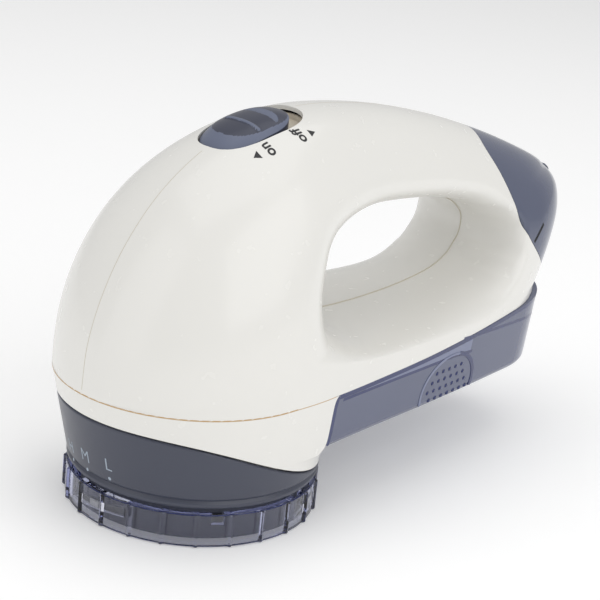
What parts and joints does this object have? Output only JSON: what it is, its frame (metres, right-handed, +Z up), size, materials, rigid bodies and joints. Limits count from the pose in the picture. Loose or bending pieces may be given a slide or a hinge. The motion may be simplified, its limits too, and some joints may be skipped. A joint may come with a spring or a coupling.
{
  "type": "fabric shaver",
  "caption": "Battery fabric shaver: domed cutting head with a height-setting guard ring, looped handle, sliding switch, lint box and rear battery cover.",
  "frame": {"origin": "centre of the guard ring's lower rim, which the shaver stands on", "axes": "-X is the nose, +X the rear of the handle, +Z up, XZ is the centre plane"},
  "size_m": [0.2138, 0.0844, 0.1211],
  "materials": {
    "cream_abs": "glossy off-white ABS",
    "slate_abs": "satin dark slate ABS",
    "smoke_clear": "transparent smoke-blue polycarbonate",
    "cover_smoke": "deep smoke-blue translucent plastic",
    "steel": "stamped stainless steel",
    "motor_steel": "zinc-plated steel",
    "white_pom": "moulded acetal",
    "grey_abs": "moulded grey ABS",
    "black_plastic": "black moulded plastic",
    "rubber": "soft black rubber",
    "dark_frame": "dark grey moulded plastic",
    "cell_jacket": "plain printed battery jacket",
    "wire_red": "red PVC insulation",
    "wire_black": "black PVC insulation",
    "nickel": "nickel-plated spring steel"
  },
  "bodies": {
    "housing": {"left_housing": "cream_abs", "right_housing": "cream_abs", "head_skirt": "cream_abs", "base_plate": "cream_abs", "collar": "slate_abs", "motor_deck": "grey_abs", "motor_can": "motor_steel", "motor_endcap": "white_pom", "motor_damper": "rubber", "motor_screws": "steel", "lint_duct": "grey_abs", "switch_well": "cream_abs", "switch_body": "black_plastic", "battery_cradle": "cream_abs", "battery_1": "cell_jacket", "battery_2": "cell_jacket", "contact_link": "nickel", "contact_positive": "nickel", "contact_negative": "nickel", "wire_red": "wire_red", "wire_black": "wire_black", "left_bosses": "cream_abs", "right_bosses": "cream_abs", "housing_screws": "steel", "collar_screws": "steel", "interlock_switch": "black_plastic"},
    "index_ring": {"index_ring": "dark_frame"},
    "guard": {"guard_ring": "smoke_clear"},
    "foil_unit": {"foil_frame": "dark_frame", "foil": "steel", "foil_clamp": "dark_frame"},
    "drive": {"motor_shaft": "steel", "cutter_hub": "white_pom", "cutter_blades": "steel", "cutter_spring": "nickel", "fan_impeller": "white_pom"},
    "button": {"switch_button": "slate_abs", "switch_slider": "white_pom"},
    "lint_box": {"lint_container": "smoke_clear", "lint_gasket": "rubber"},
    "battery_door": {"battery_cover": "cover_smoke", "cover_latch": "cover_smoke"},
    "interlock": {"interlock_pin": "white_pom"}
  },
  "joints": [
    {"name": "guard_turn", "type": "hinge", "parent": "housing", "child": "index_ring", "pos_m": [0, 0, 0.009], "axis": [0, 0, 1], "range_deg": [-14, 14]},
    {"name": "guard_lift", "type": "slide", "parent": "index_ring", "child": "guard", "axis": [0, 0, 1], "range_m": [-0.0011, 0.0011]},
    {"name": "foil_twist", "type": "hinge", "parent": "housing", "child": "foil_unit", "pos_m": [0, 0, 0.004], "axis": [0, 0, 1], "range_deg": [0, 25]},
    {"name": "cutter_spin", "type": "hinge", "parent": "housing", "child": "drive", "pos_m": [0, 0, 0.01], "axis": [0, 0, 1], "continuous": true},
    {"name": "switch_slide", "type": "hinge", "parent": "housing", "child": "button", "pos_m": [0.0281, 0, 0.0663], "axis": [0, 1, 0], "range_deg": [0, 5.3]},
    {"name": "lint_box_slide", "type": "slide", "parent": "housing", "child": "lint_box", "axis": [1, 0, 0], "range_m": [0, 0.1]},
    {"name": "battery_cover_slide", "type": "slide", "parent": "housing", "child": "battery_door", "axis": [0.7312, 0, 0.6822], "range_m": [0, 0.03]},
    {"name": "interlock_press", "type": "slide", "parent": "housing", "child": "interlock", "axis": [0, 0, -1], "range_m": [0, 0.0015]}
  ],
  "couplings": [
    {"joint": "interlock_press", "follows": "foil_twist", "m_per_rad": 0.003437},
    {"joint": "guard_lift", "follows": "guard_turn", "m_per_rad": 0.004093}
  ]
}
